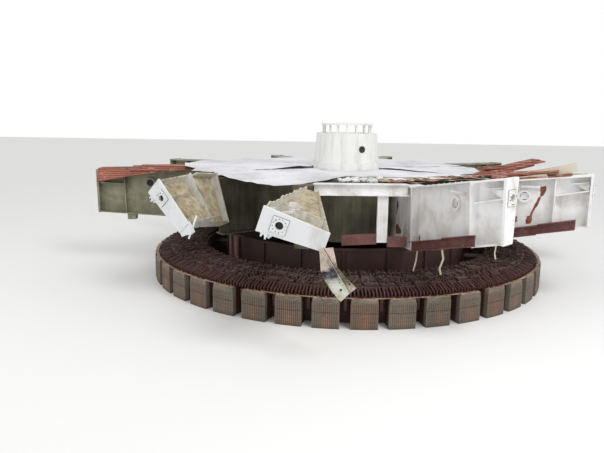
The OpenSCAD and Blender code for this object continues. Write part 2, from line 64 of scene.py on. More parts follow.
def placeCamera():
    cp, sp = math.cos(view["pitch"]), math.sin(view["pitch"])
    cy, sy = math.cos(view["yaw"]), math.sin(view["yaw"])
    cr, sr = math.cos(view["roll"]), math.sin(view["roll"])
    ahead = Vector((sy, cy, 0))
    side = Vector((cy, -sy, 0))
    forward = ahead * cp - Vector((0, 0, sp))
    top = ahead * sp + Vector((0, 0, cp))
    right = side * cr + top * sr
    up = top * cr - side * sr
    data = bpy.data.cameras.new("camera")
    data.lens = view["lens"]
    data.clip_end = view["far"]
    camera = placed("camera", data)
    turn = Matrix((right, up, -forward)).transposed().to_4x4()
    camera.matrix_world = Matrix.Translation(view["place"]) @ turn
    bpy.context.scene.camera = camera


# Shader maths: a wrapped socket, so that expressions add their own nodes
class Wire:
    def __init__(self, paint, socket):
        self.paint = paint
        self.socket = socket

    def of(self, operation, second=0.0):
        return self.paint.add("ShaderNodeMath", {"operation": operation}, {0: self, 1: second})

    def __add__(self, other):
        return self.of("ADD", other)

    __radd__ = __add__

    def __sub__(self, other):
        return self.of("SUBTRACT", other)

    def __mul__(self, other):
        return self.of("MULTIPLY", other)


# One material: its node tree, and short ways to the few nodes used again and again
class Paint:
    def __init__(self, name):
        self.material = bpy.data.materials.new(name)
        self.material.use_nodes = True
        self.tree = self.material.node_tree
        self.shader = self.tree.nodes["Principled BSDF"]
        self.place = self.add("ShaderNodeTexCoord", {}, {}, "Object")

    def add(self, kind, settings, inputs, output=0):
        node = self.tree.nodes.new(kind)
        for key, value in settings.items():
            if key == "stops":
                ramp = node.color_ramp
                while len(ramp.elements) < len(value):
                    ramp.elements.new(0.5)
                for element, (at, tone) in zip(ramp.elements, value):
                    element.position = at
                    element.color = (*tone, 1)
            else:
                setattr(node, key, value)
        for key, value in inputs.items():
            if isinstance(value, Wire):
                self.tree.links.new(value.socket, node.inputs[key])
            else:
                node.inputs[key].default_value = value
        return Wire(self, node.outputs[output])

    def noise(self, scale, detail=5, rough=0.6, at=None, warp=0.0):
        return self.add("ShaderNodeTexNoise", {},
                        {"Vector": at or self.place, "Scale": scale, "Detail": detail,
                         "Roughness": rough, "Distortion": warp}, "Fac")

    def stretched(self, x, y, z):
        return self.add("ShaderNodeMapping", {}, {"Vector": self.place, "Scale": (x, y, z)})

    def step(self, value, low, high):
        return self.add("ShaderNodeMapRange", {"interpolation_type": "SMOOTHSTEP"},
                        {"Value": value, "From Min": low, "From Max": high}, "Result")

    def ramp(self, value, stops):
        return self.add("ShaderNodeValToRGB", {"stops": stops}, {"Fac": value}, "Color")

    def blend(self, mask, first, second):
        values = {0: mask}
        for slot, tone in ((6, first), (7, second)):
            values[slot] = (*tone, 1) if isinstance(tone, tuple) else tone
        return self.add("ShaderNodeMix", {"data_type": "RGBA"}, values, 2)

    def axes(self):
        parts = self.add("ShaderNodeSeparateXYZ", {}, {0: self.place}, "X")
        node = parts.socket.node
        return parts, Wire(self, node.outputs["Y"]), Wire(self, node.outputs["Z"])

    def azimuth(self):
        x, y, _ = self.axes()
        return y.of("ARCTAN2", x)

    def facing(self):
        return self.add("ShaderNodeSeparateXYZ", {},
                        {0: self.add("ShaderNodeNewGeometry", {}, {}, "Normal")}, "Z")

    def finish(self, colour, rough, bumps=(), metal=0.0):
        for key, value in (("Base Color", colour), ("Roughness", rough), ("Metallic", metal)):
            if isinstance(value, Wire):
                self.tree.links.new(value.socket, self.shader.inputs[key])
            else:
                self.shader.inputs[key].default_value = value
        last = None
        for height, strength, reach in bumps:
            values = {"Height": height, "Strength": strength, "Distance": reach}
            if last:
                values["Normal"] = last
            last = self.add("ShaderNodeBump", {}, values)
        if last:
            self.tree.links.new(last.socket, self.shader.inputs["Normal"])
        return self.material


# Cream paint in the sun, in the shade, under mud and on the end plates: clean, dull, mud and rust
creamTones = {
    "sun": ((0.89, 0.885, 0.89), (0.66, 0.635, 0.59), (0.34, 0.29, 0.22), (0.27, 0.085, 0.035)),
    "shade": ((0.30, 0.29, 0.20), (0.175, 0.165, 0.105), (0.075, 0.065, 0.04), (0.15, 0.05, 0.025)),
    "muddy": ((0.66, 0.61, 0.49), (0.47, 0.41, 0.28), (0.21, 0.155, 0.085), (0.26, 0.095, 0.04)),
    "plate": ((0.76, 0.775, 0.79), (0.60, 0.60, 0.575), (0.27, 0.24, 0.18), (0.27, 0.10, 0.05)),
}


def creamPaint(name, dirt, rustEdge, where):
    paint = Paint(name)
    clean, dull, mudTone, rustTone = creamTones[where]
    cloud = paint.noise(1.5, 6, 0.62, warp=0.4)
    streaks = paint.noise(2.2, 4, 0.5, paint.stretched(1.7, 1.7, 0.5))
    speck = paint.noise(38, 3)
    chips = paint.noise(7, 6, 0.7, warp=0.3)
    grime = paint.step(cloud * 0.7 + streaks * 0.3, dirt - 0.05, dirt + 0.16)
    base = paint.blend(grime, clean, dull)
    mud = paint.step(streaks * 0.5 + cloud * 0.3 + speck * 0.2, 0.58, 0.72)
    base = paint.blend(mud * 0.5, base, mudTone)
    scratch = paint.step(chips, 0.66, 0.69)
    base = paint.blend(scratch * 0.7, base, mudTone)
    rustMask = paint.step(paint.noise(1.7, 6, 0.62, warp=0.4), rustEdge, rustEdge + 0.04)
    rust = paint.ramp(speck, [(0.3, (0.12, 0.04, 0.02)), (0.7, rustTone)])
    base = paint.blend(rustMask, base, rust)
    rough = 0.42 + grime * 0.25 + rustMask * 0.25
    return paint.finish(base, rough, [(speck, 0.15, 0.004), (scratch, 0.25, 0.002), (rustMask, 0.3, 0.003)])


# Broken arms: the faces of the web are muddy, the plates that stand across it are pale
webNormals = {"tornFront": (0.321, -0.112, 0.940), "tornLeft": (0.72, -0.39, 0.565)}


def tornPaint(name):
    paint = Paint(name)
    normal = paint.add("ShaderNodeNewGeometry", {}, {}, "Normal")
    facing = paint.add("ShaderNodeVectorMath", {"operation": "DOT_PRODUCT"},
                       {0: normal, 1: webNormals[name]}, "Value")
    web = paint.step(facing.of("ABSOLUTE"), 0.75, 0.95)
    cloud = paint.noise(1.8, 6, 0.65, warp=0.5)
    streaks = paint.noise(4.2, at=paint.stretched(1.8, 1.8, 0.7))
    speck = paint.noise(34, 4)
    muddy = paint.ramp(cloud * 0.55 + streaks * 0.35 + speck * 0.1, [
        (0.36, (0.16, 0.105, 0.055)), (0.46, (0.34, 0.27, 0.165)), (0.56, (0.53, 0.465, 0.33)),
        (0.68, (0.66, 0.62, 0.50))])
    pale = paint.ramp(streaks * 0.6 + speck * 0.2 + cloud * 0.2, [
        (0.34, (0.33, 0.26, 0.18)), (0.44, (0.62, 0.60, 0.54)), (0.6, (0.74, 0.74, 0.73))])
    base = paint.blend(web, pale, muddy)
    return paint.finish(base, 0.55 + speck * 0.2, [(speck, 0.25, 0.004), (cloud, 0.3, 0.01)])


# Bracket centre: dark olive all round, painted shade under the deck with streaks of grime, and paler where
# the front right root is open to the light, painted light
def innerPaint():
    paint = Paint("innerPaint")
    x, y, _ = paint.axes()
    cloud = paint.noise(1.1)
    streaks = paint.noise(3.2, at=paint.stretched(2.4, 2.4, 0.3))
    speck = paint.noise(30, 4)
    # Painted shade: the dark olive of the bracket's inside
    dark = paint.ramp(cloud * 0.45 + streaks * 0.4 + speck * 0.15, [
        (0.36, (0.030, 0.027, 0.018)), (0.5, (0.085, 0.078, 0.048)), (0.66, (0.17, 0.155, 0.10))])
    pale = paint.ramp(streaks * 0.7 + speck * 0.3, [
        (0.36, (0.34, 0.20, 0.14)), (0.44, (0.68, 0.64, 0.60)), (0.56, (0.86, 0.85, 0.85))])
    # Painted light: the pale patch where the front right root is open
    lit = paint.step(x + cloud * 0.3, 1.32, 1.58) * paint.step(y, -2.9, -3.2)
    base = paint.blend(lit, dark, pale)
    return paint.finish(base, 0.6 + speck * 0.2, [(speck, 0.25, 0.004), (streaks, 0.2, 0.006)])


def rimPaint():
    paint = Paint("rimPaint")
    _, _, z = paint.axes()
    cloud = paint.noise(1.3, 6, 0.65)
    fine = paint.noise(22)
    layers = (z * 260).of("SINE")
    base = paint.ramp(cloud * 0.6 + fine * 0.4, [
        (0.35, (0.028, 0.014, 0.012)), (0.52, (0.070, 0.032, 0.025)), (0.68, (0.15, 0.072, 0.052))])
    silt = paint.step(paint.facing() + fine * 0.5, 0.85, 1.35)
    base = paint.blend(silt * 0.5, base, (0.165, 0.125, 0.115))
    return paint.finish(base, 0.62 + fine * 0.25, [(layers, 0.25, 0.004), (fine, 0.35, 0.006)])


def hubPaint():
    paint = Paint("hubPaint")
    cloud = paint.noise(0.8, at=paint.stretched(1, 1, 0.4))
    fine = paint.noise(18)
    base = paint.ramp(cloud * 0.7 + fine * 0.3, [
        (0.35, (0.022, 0.010, 0.008)), (0.55, (0.048, 0.020, 0.016)), (0.72, (0.095, 0.038, 0.028))])
    return paint.finish(base, 0.55 + fine * 0.2, [(fine, 0.3, 0.005)])


# Poles: azimuth of the first, half a shoe as a share of the pitch, the slots across it and the rows up it.
# The shift keeps the pole's number above zero and puts its steps between the shoes.
poleLook = {
    "count": 42, "phase": 4.9, "halfShoe": 0.357, "slots": 13, "slotTop": 0.585, "slotEdge": 0.90,
    "row": 0.045, "wetLine": 0.10, "shift": 50.5,
}


def poleFace():
    look = poleLook
    paint = Paint("poleFace")
    _, _, z = paint.axes()
    start = (90 - look["phase"]) * look["count"] / 360 + look["shift"]
    turns = paint.azimuth() * (look["count"] / math.tau) + start
    index = turns.of("FLOOR")
    across = (turns - index - 0.5) * (1 / look["halfShoe"])
    side = across.of("ABSOLUTE")
    each = paint.add("ShaderNodeTexWhiteNoise", {"noise_dimensions": "1D"}, {"W": index}, "Value")
    fine = paint.noise(30)
    cloud = paint.noise(1.8)
    edge, top = look["slotEdge"], look["slotTop"]
    inside = paint.step(side, edge + 0.03, edge) * paint.step(z, top + 0.01, top)
    wave = across * (math.pi * look["slots"])
    slots = paint.step(wave.of("COSINE"), 0.55, 0.85) * inside
    rows = z * (math.pi / look["row"])
    hoops = paint.step(rows.of("COSINE"), 0.80, 0.95) * inside
    hot = paint.step(side + fine * 0.3 + cloud * 0.4, 1.02, 0.42) * paint.step(z + cloud * 0.5, 0.84, 0.46)
    hot = hot * (0.35 + each * 0.55)
    grey = paint.ramp(fine * 0.6 + cloud * 0.4, [
        (0.36, (0.095, 0.080, 0.062)), (0.5, (0.165, 0.135, 0.10)), (0.64, (0.23, 0.19, 0.145))])
    brown = paint.ramp(fine * 0.5 + cloud * 0.5, [
        (0.38, (0.16, 0.075, 0.045)), (0.5, (0.27, 0.135, 0.085)), (0.64, (0.40, 0.21, 0.13))])
    stain = paint.step(cloud * 0.6 + each * 0.3 + fine * 0.2, 0.46, 0.66) * 0.6
    base = paint.blend(stain, grey, (0.15, 0.080, 0.055))
    base = paint.blend(hot, base, brown)
    base = paint.blend(slots * 0.8, base, (0.035, 0.022, 0.016))
    base = paint.blend(hoops * 0.35, base, (0.06, 0.035, 0.022))
    wet = paint.step(z, look["wetLine"], look["wetLine"] - 0.08)
    base = paint.blend(wet * 0.6, base, (0.06, 0.055, 0.03))
    upright = paint.step(paint.facing().of("ABSOLUTE"), 0.5, 0.2)
    grooves = slots * upright * -1
    return paint.finish(base, 0.6 + fine * 0.2,
                        [(grooves, 0.8, 0.012), (hoops * -1, 0.3, 0.004), (fine, 0.2, 0.003)])


def coilVarnish():
    paint = Paint("coilVarnish")
    _, _, z = paint.axes()
    fine = paint.noise(24, 4)
    turns = (z * 330).of("SINE")
    base = paint.ramp(fine, [(0.3, (0.035, 0.013, 0.010)), (0.7, (0.105, 0.034, 0.024))])
    return paint.finish(base, 0.5 + fine * 0.2, [(turns, 0.5, 0.006)])


def platePaint():
    paint = Paint("platePaint")
    fine = paint.noise(16)
    cloud = paint.noise(2.4, 4)
    base = paint.ramp(fine * 0.5 + cloud * 0.5, [(0.38, (0.10, 0.088, 0.068)), (0.62, (0.22, 0.19, 0.15))])
    return paint.finish(base, 0.6 + fine * 0.2, [(fine, 0.3, 0.004)])


def damperCopper():
    paint = Paint("damperCopper")
    fine = paint.noise(12)
    cloud = paint.noise(1.2, 4)
    base = paint.ramp(fine * 0.6 + cloud * 0.4, [
        (0.36, (0.17, 0.085, 0.055)), (0.5, (0.40, 0.25, 0.175)), (0.64, (0.62, 0.47, 0.37))])
    return paint.finish(base, 0.42 + fine * 0.2, [(fine, 0.2, 0.003)], 0.35)


def shaftSteel():
    paint = Paint("shaftSteel")
    fine = paint.noise(9, at=paint.stretched(1, 1, 12))
    base = paint.ramp(fine, [(0.3, (0.18, 0.165, 0.15)), (0.7, (0.36, 0.34, 0.32))])
    return paint.finish(base, 0.4 + fine * 0.2, [(fine, 0.15, 0.002)], 0.8)


def redPrimer():
    paint = Paint("redPrimer")
    cloud = paint.noise(1.6)
    fine = paint.noise(26, 4)
    scuff = paint.step(paint.noise(4.5, 6, 0.65, warp=0.5), 0.60, 0.68)
    base = paint.ramp(cloud * 0.6 + fine * 0.4, [
        (0.36, (0.085, 0.030, 0.026)), (0.5, (0.155, 0.060, 0.052)), (0.66, (0.235, 0.105, 0.09))])
    base = paint.blend(scuff * 0.45, base, (0.36, 0.24, 0.21))
    return paint.finish(base, 0.55 + fine * 0.2, [(fine, 0.25, 0.003)])


# Floor layers in bands, and the pale boards among them: hue and pale
floorTones = {
    "redFloor": ((0.31, 0.078, 0.040), (0.52, 0.34, 0.29)),
    "paleBoard": ((0.46, 0.40, 0.30), (0.66, 0.60, 0.52)),
}


def floorPaint(name):
    paint = Paint(name)
    hue, pale = floorTones[name]
    cloud = paint.noise(1.4)
    torn = paint.noise(4.2, 6, 0.68, paint.stretched(0.6, 2.2, 1), 0.5)
    fine = paint.noise(34, 4)
    base = paint.ramp(cloud * 0.5 + fine * 0.5, [
        (0.34, tuple(v * 0.45 for v in hue)), (0.5, hue), (0.66, tuple(min(v * 1.35, 0.9) for v in hue))])
    _, _, z = paint.axes()
    bands = (z * 115 + cloud * 9 + torn * 5).of("SINE")
    base = paint.blend(paint.step(bands, 0.55, 0.95) * 0.45, base, pale)
    base = paint.blend(paint.step(bands, -0.5, -0.95) * 0.7, base, (0.085, 0.040, 0.028))
    base = paint.blend(paint.step(torn, 0.57, 0.64) * 0.8, base, pale)
    base = paint.blend(paint.step(torn, 0.42, 0.36) * 0.8, base, (0.07, 0.035, 0.025))
    return paint.finish(base, 0.62 + fine * 0.2, [(torn, 0.4, 0.01), (fine, 0.25, 0.003)])


def coverSheet():
    paint = Paint("coverSheet")
    cloud = paint.noise(0.7)
    scuffs = paint.noise(5, at=paint.stretched(0.4, 2.5, 1))
    fine = paint.noise(40, 3)
    base = paint.ramp(cloud * 0.75 + scuffs * 0.25, [
        (0.34, (0.52, 0.52, 0.54)), (0.5, (0.73, 0.73, 0.765)), (0.64, (0.84, 0.84, 0.875))])
    dust = paint.step(paint.noise(2.4, 6, 0.65), 0.60, 0.70)
    base = paint.blend(dust * 0.35, base, (0.50, 0.46, 0.40))
    return paint.finish(base, 0.4 + scuffs * 0.3, [(scuffs, 0.1, 0.004), (fine, 0.1, 0.002)])


def capPaint():
    paint = Paint("capPaint")
    streaks = paint.noise(2.6, 4, 0.55, paint.stretched(2.0, 2.0, 0.3))
    fine = paint.noise(30, 3)
    base = paint.ramp(streaks * 0.8 + fine * 0.2, [
        (0.3, (0.62, 0.61, 0.55)), (0.46, (0.82, 0.82, 0.79)), (0.7, (0.90, 0.90, 0.89))])
    return paint.finish(base, 0.3 + streaks * 0.2, [(fine, 0.06, 0.002)])


# Hanging panel: its crease as a line in x and z, its holes as x, z and radius, the tones of its two leaves.
# The crease and the holes are painted dark, as painted shade.
panelLook = {
    "creaseX": -0.307, "creaseZ": 2.212, "creaseSlope": 0.634, "creaseHalf": 0.010,
    "holes": [(-0.038, 1.554, 0.025), (0.125, 1.682, 0.019), (0.077, 1.796, 0.021), (-0.071, 1.687, 0.011),
              (0.001, 1.650, 0.011)],
    "tan": [(0.36, (0.19, 0.14, 0.10)), (0.5, (0.40, 0.33, 0.26)), (0.62, (0.58, 0.52, 0.45))],
    "burnt": [(0.44, (0.016, 0.016, 0.026)), (0.52, (0.07, 0.07, 0.09)), (0.58, (0.22, 0.22, 0.24)),
              (0.66, (0.46, 0.47, 0.46))],
    "pale": [(0.36, (0.20, 0.18, 0.12)), (0.46, (0.44, 0.44, 0.36)), (0.6, (0.60, 0.62, 0.54))],
    "pink": [(0.36, (0.36, 0.25, 0.20)), (0.5, (0.62, 0.48, 0.41)), (0.64, (0.74, 0.62, 0.54))],
    "olive": [(0.38, (0.035, 0.022, 0.016)), (0.5, (0.12, 0.095, 0.05)), (0.62, (0.27, 0.22, 0.14))],
}


def scorchedPaint():
    paint = Paint("scorchedPaint")
    look = panelLook
    x, _, z = paint.axes()
    patch = paint.noise(3.6, 6, 0.65, warp=0.6)
    blots = paint.noise(9, 6, 0.7, warp=0.8)
    fine = paint.noise(34, 4)
    tan = paint.ramp(patch * 0.6 + fine * 0.4, look["tan"])
    burnt = paint.ramp(blots, look["burnt"])
    pale = paint.ramp(patch * 0.7 + fine * 0.3, look["pale"])
    pink = paint.ramp(fine * 0.5 + patch * 0.5, look["pink"])
    olive = paint.ramp(blots * 0.6 + fine * 0.4, look["olive"])
    height = z + patch * 0.4 - x * 0.2 - 0.2
    upperLeft = paint.blend(paint.step(height, 2.06, 1.94), tan, burnt)
    left = paint.blend(paint.step(height, 1.82, 1.70), upperLeft, pale)
    upperRight = paint.blend(paint.step(height, 2.12, 1.99), pink, olive)
    right = paint.blend(paint.step(height, 1.74, 1.60), upperRight, tan)
    slope, half = look["creaseSlope"], look["creaseHalf"]
    side = x + z * slope - (look["creaseX"] + look["creaseZ"] * slope)
    base = paint.blend(paint.step(side, -0.003, 0.003), left, right)
    rim = paint.step(side, -0.024, -0.019) * paint.step(side, -half, -0.014)
    base = paint.blend(rim, base, (0.52, 0.48, 0.40))
    # Painted shade: a dark line along the crease, and a dark disc at each hole
    dark = paint.step(side, -half, -0.006) * paint.step(side, half, 0.006)
    for holeX, holeZ, radius in look["holes"]:
        away = (x - holeX) * (x - holeX) + (z - holeZ) * (z - holeZ)
        dark = dark.of("MAXIMUM", paint.step(away, radius * radius * 1.2, radius * radius * 0.7))
    base = paint.blend(dark, base, (0.018, 0.014, 0.011))
    return paint.finish(base, 0.5 + fine * 0.3, [(patch, 0.3, 0.008), (fine, 0.2, 0.003)])


def rustPaint():
    paint = Paint("rustPaint")
    fine = paint.noise(26, 5, 0.65)
    cloud = paint.noise(5)
    base = paint.ramp(fine * 0.6 + cloud * 0.4, [
        (0.36, (0.09, 0.030, 0.018)), (0.5, (0.22, 0.075, 0.035)), (0.64, (0.36, 0.15, 0.075))])
    return paint.finish(base, 0.8, [(fine, 0.4, 0.004)])


# Near-black paint: painted shade in the port holes, behind the jack holes and in the gap between the covers;
# on the cap it is the printed mark
def darkHole():
    paint = Paint("darkHole")
    fine = paint.noise(20, 3)
    return paint.finish(paint.ramp(fine, [(0.3, (0.012, 0.012, 0.011)), (0.7, (0.04, 0.038, 0.035))]), 0.8)


# Nodes whose paint isn't the one of their own slot
nodePaint = {
    "arm_left": "shaded", "end_left": "shaded", "arms_back": "shaded", "ends_back": "shaded",
    "side_beams": "inner", "arm_roots": "inner", "bracket_drum": "inner", "bracket_ribs": "inner",
    "bearing_housing": "inner", "bottom_ring": "inner", "deck_ring": "inner",
    "arm_front": "tornFront", "arm_front_left": "tornLeft",
    "end_front": "plate", "end_front_left": "plate",
}


def makePaints():
    return {
        "shaft_steel": shaftSteel(), "hub_paint": hubPaint(), "rim_paint": rimPaint(),
        "pole_lamination": poleFace(), "coil_varnish": coilVarnish(), "pole_plate": platePaint(),
        "damper_copper": damperCopper(), "cream_paint": creamPaint("creamPaint", 0.49, 0.67, "sun"),
        "red_primer": redPrimer(), "floor_layers": floorPaint("redFloor"),
        "scorched_panel": scorchedPaint(), "cover_sheet": coverSheet(), "cap_paint": capPaint(),
        "shaded": creamPaint("creamShaded", 0.45, 0.68, "shade"),
        "tan": creamPaint("creamTan", 0.48, 0.66, "muddy"),
        "tornFront": tornPaint("tornFront"), "tornLeft": tornPaint("tornLeft"), "rust": rustPaint(),
        "plate": creamPaint("creamPlate", 0.53, 0.72, "plate"),
        "inner": innerPaint(), "hole": darkHole(), "board": floorPaint("paleBoard"),
    }


def dressNodes():
    slots = {row["node"]: row["material_slot"] for row in frame["record"]["subparts"]}
    for name, item in nodes.items():
        item.data.materials.clear()
        item.data.materials.append(paints[nodePaint.get(name, slots[name])])


# Places: turns, moves and points on a circle round the axis
def turned(axis, degrees):
    return Matrix.Rotation(math.radians(degrees), 4, axis)


def moved(x, y, z):
    return Matrix.Translation((x, y, z))


def spot(az, radius, z):
    a = math.radians(az)
    return Vector((radius * math.sin(a), -radius * math.cos(a), z))


# A piece is gathered as one bmesh and then turned into an object
class Piece:
    def __init__(self, name):
        self.name = name
        self.shape = bmesh.new()

    def box(self, size, at):
        bmesh.ops.create_cube(self.shape, size=1, matrix=at @ Matrix.Diagonal((*size, 1)))

    def rod(self, radius, length, at, sides):
        bmesh.ops.create_cone(self.shape, cap_ends=True, segments=sides, radius1=radius, radius2=radius,
                              depth=length, matrix=at)

    def slab(self, outline, thick, at):
        ring = [self.shape.verts.new(at @ Vector((x, 0, z))) for x, z in outline]
        face = self.shape.faces.new(ring)
        through = (at.to_3x3() @ Vector((0, 1, 0))) * thick
        out = bmesh.ops.extrude_face_region(self.shape, geom=[face])
        for item in out["geom"]:
            if isinstance(item, bmesh.types.BMVert):
                item.co += through

    def bend(self, points, width, thick, side):
        last = None
        up = Vector((0, 0, thick))
        for point in points:
            ring = [self.shape.verts.new(Vector(point) + side * width * a + up * b)
                    for a, b in ((-0.5, -0.5), (0.5, -0.5), (0.5, 0.5), (-0.5, 0.5))]
            if last:
                for k in range(4):
                    self.shape.faces.new((last[k], last[(k + 1) % 4], ring[(k + 1) % 4], ring[k]))
            else:
                self.shape.faces.new(ring)
            last = ring
        self.shape.faces.new(last)

    def done(self, slot, paint=None, body="bracket", replaces=()):
        bmesh.ops.recalc_face_normals(self.shape, faces=self.shape.faces[:])
        mesh = bpy.data.meshes.new(self.name)
        self.shape.to_mesh(mesh)
        self.shape.free()
        mesh.materials.append(paints[paint or slot])
        item = placed(self.name, mesh)
        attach(item, body)
        if replaces:
            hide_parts(*replaces)


# A crumpled sheet: an outline cut into a fine grid, lifted by a function, then thickened
def crumple(piece, outline, lift, cell, thick):
    shape = bmesh.new()
    shape.faces.new([shape.verts.new((x, y, 0)) for x, y in outline])
    for axis in (0, 1):
        values = [corner[axis] for corner in outline]
        count = int((max(values) - min(values)) / cell)
        for k in range(1, count + 1):
            cut = [0, 0, 0]
            normal = [0, 0, 0]
            cut[axis] = min(values) + k * cell
            normal[axis] = 1
            bmesh.ops.bisect_plane(shape, geom=shape.verts[:] + shape.edges[:] + shape.faces[:],
                                   plane_co=cut, plane_no=normal)
    bmesh.ops.triangulate(shape, faces=shape.faces[:])
    for vert in shape.verts:
        vert.co.z = lift(vert.co.x, vert.co.y)
    bmesh.ops.solidify(shape, geom=shape.faces[:], thickness=thick)
    part = bpy.data.meshes.new("sheet")
    shape.to_mesh(part)
    shape.free()
    piece.shape.from_mesh(part)
    bpy.data.meshes.remove(part)


# How high a crease from start to end lifts a sheet at x, y
def ridge(x, y, start, end, wide, high):
    run = Vector((end[0] - start[0], end[1] - start[1]))
    away = Vector((x - start[0], y - start[1]))
    k = max(0.0, min(1.0, away.dot(run) / run.length_squared))
    gap = (away - run * k).length
    return high * max(0.0, 1 - gap / wide)


# Frames of the bracket's arms, as the solids have them
arms = {
    "root": 4.6, "web": 0.03, "topWide": 0.5, "low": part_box("bottom_ring")[0][2], "lift": 0.06,
    "rootHigh": 1.57, "endHigh": 1.33, "lip": 0.01, "portBack": 0.75, "port": 0.11,
    "frontRight": {"az": 23, "yaw": 0, "long": 3.0, "rise": 0.75, "bay": 0.64, "bend": 26},
    "right": {"az": 59, "yaw": 7.5, "long": 2.36, "rise": 0.53, "bay": 0.8, "bend": 0},
    "left": {"az": -85, "yaw": 0, "long": 3.06, "rise": 0.17, "bay": 0.8, "bend": 0},
}


def atAz(az):
    return turned("Z", az - 90)


def atRoot(arm):
    out = arms["root"] + arms["web"] + arms["topWide"] / 2 * math.sin(math.radians(abs(arm["yaw"])))
    return atAz(arm["az"]) @ moved(out, 0, arms["low"] + arms["lift"]) @ turned("Z", arm["yaw"])


def riseAt(arm, x):
    return arm["rise"] * x / arm["long"]


def highAt(arm, x):
    return arms["rootHigh"] + (arms["endHigh"] - arms["rootHigh"]) * x / arm["long"]


def atEnd(arm):
    bend = moved(arm["long"] - arm["bay"], 0, arm["rise"] - arms["lip"]) @ turned("Z", arm["bend"])
    return atRoot(arm) @ bend @ moved(arm["bay"], 0, 0)


def along(a, b, roll):
    run = b - a
    heading = math.degrees(math.atan2(run.x, -run.y))
    climb = math.degrees(math.atan2(run.z, math.hypot(run.x, run.y)))
    return moved(*a) @ atAz(heading) @ turned("Y", -climb) @ turned("X", roll)


# Broken arms: ends of their centre lines, and their rolls
broken = {
    "frontRoot": spot(-10, 4.6386, 2.97), "frontEnd": spot(-7, 7.85, 2.64), "frontRoll": 71,
    "leftMid": spot(-46, 5.32, 2.56), "leftEnd": spot(-43, 6.29, 2.52), "leftRoll": 44,
}


# Foot of the end plates of the broken arms: front, then front left
def brokenEnds(gap):
    foot = moved(gap, 0, -arms["endHigh"] / 2 - arms["lip"])
    front, left = broken["frontEnd"], broken["leftEnd"]
    return (along(front, front * 2 - broken["frontRoot"], broken["frontRoll"]) @ foot,
            along(left, left * 2 - broken["leftMid"], broken["leftRoll"]) @ foot)


# Rim: rough radial plates and bolt ends on top, close ribs on the outer face
rimLook = {
    "inner": 4.36, "outer": 5.41, "rows": 6, "pitch": 0.074, "gaps": 0.16, "raisedRows": (1, 4),
    "pack": 0.055, "studRings": (4.52, 5.22), "studsPerPole": 4, "finsPerPole": 10,
    "fin": {"inner": 5.44, "crest": 5.52, "outer": 5.735, "foot": 0.72, "edge": 0.80, "thick": 0.036},
}


def makeRimTop():
    look = rimLook
    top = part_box("rim_core")[1][2]
    dice = random.Random(5)
    rubble = Piece("rimRubble")
    depth = (look["outer"] - look["inner"]) / look["rows"]
    for row in range(look["rows"]):
        radius = look["inner"] + (row + 0.5) * depth
        count = int(math.tau * radius / look["pitch"])
        for k in range(count):
            if dice.random() < look["gaps"]:
                continue
            az = 360 * k / count + dice.uniform(-0.2, 0.2)
            out = radius + dice.uniform(-0.03, 0.03)
            high = dice.uniform(0.02, 0.085) + (0.03 if row in look["raisedRows"] else 0)
            size = (dice.uniform(0.06, 0.15), dice.uniform(0.02, 0.042), high)
            at = atAz(az) @ moved(out, 0, top + look["pack"] + high / 2 - 0.02)
            at = at @ turned("Z", dice.uniform(-14, 14)) @ turned("X", dice.uniform(-9, 9))
            rubble.box(size, at)
    rubble.done("rim_paint", body="rotor")
    studs = Piece("rimStuds")
    count = poleLook["count"] * look["studsPerPole"]
    for k in range(count):
        az = poleLook["phase"] + (k + 0.5) * 360 / count
        for out in look["studRings"]:
            at = atAz(az) @ moved(out + dice.uniform(-0.01, 0.01), 0, top + 0.1)
            studs.rod(0.024, dice.uniform(0.08, 0.15), at, 8)
            studs.rod(0.042, 0.034, at @ moved(0, 0, -0.01), 6)
    studs.done("rim_paint", body="rotor")
    fins = Piece("rimFins")
    fin = look["fin"]
    count = poleLook["count"] * look["finsPerPole"]
    for k in range(count):
        az = poleLook["phase"] + (k + 0.5) * 360 / count + dice.uniform(-0.05, 0.05)
        high = top + dice.uniform(-0.02, 0.05)
        edge = fin["edge"] + dice.uniform(-0.03, 0.02)
        fins.slab([(fin["inner"], fin["foot"]), (fin["outer"], fin["foot"]), (fin["outer"], edge),
                   (fin["crest"], high), (fin["inner"], high)], fin["thick"], atAz(az) @ moved(0, -0.019, 0))
    fins.done("rim_paint", "coil_varnish", body="rotor")


# Poles: coil straps in the gaps between them, and three bolts on each damper segment
poleTrim = {"strap": (0.05, 0.07, 0.30), "strapOut": 5.66, "strapUp": 0.52, "boltOut": 5.8, "boltUp": 0.722}


def makePoleTrim():
    look = poleTrim
    dice = random.Random(8)
    straps = Piece("coilStraps")
    bolts = Piece("poleBolts")
    pitch = 360 / poleLook["count"]
    for k in range(poleLook["count"]):
        az = poleLook["phase"] + k * pitch
        across = dice.uniform(-0.02, 0.02)
        straps.box(look["strap"], atAz(az + 4.28) @ moved(look["strapOut"], across, look["strapUp"]))
        for side in (-0.19, 0.0, 0.19):
            bolts.rod(0.016, 0.03, atAz(az) @ moved(look["boltOut"], side, look["boltUp"]), 6)
    straps.done("coil_varnish", body="rotor")
    bolts.done("damper_copper", body="rotor")


# Hub drum: thin seams beside each rib, and bolts up the ribs
hubTrim = {
    "panels": 20, "radius": 3.75, "seam": (0.014, 0.02, 1.2), "beside": 0.9, "bolts": (0.35, 0.75, 1.15),
}


def makeHubTrim():
    look = hubTrim
    joints = Piece("hubJoints")
    for k in range(look["panels"]):
        az = k * 360 / look["panels"]
        for side in (-look["beside"], look["beside"]):
            joints.box(look["seam"], atAz(az + side) @ moved(look["radius"] - 0.044, 0, 0.70))
        for z in look["bolts"]:
            joints.rod(0.022, 0.02, atAz(az) @ moved(look["radius"], 0, z) @ turned("Y", 90), 6)
    joints.done("hub_paint", body="rotor")


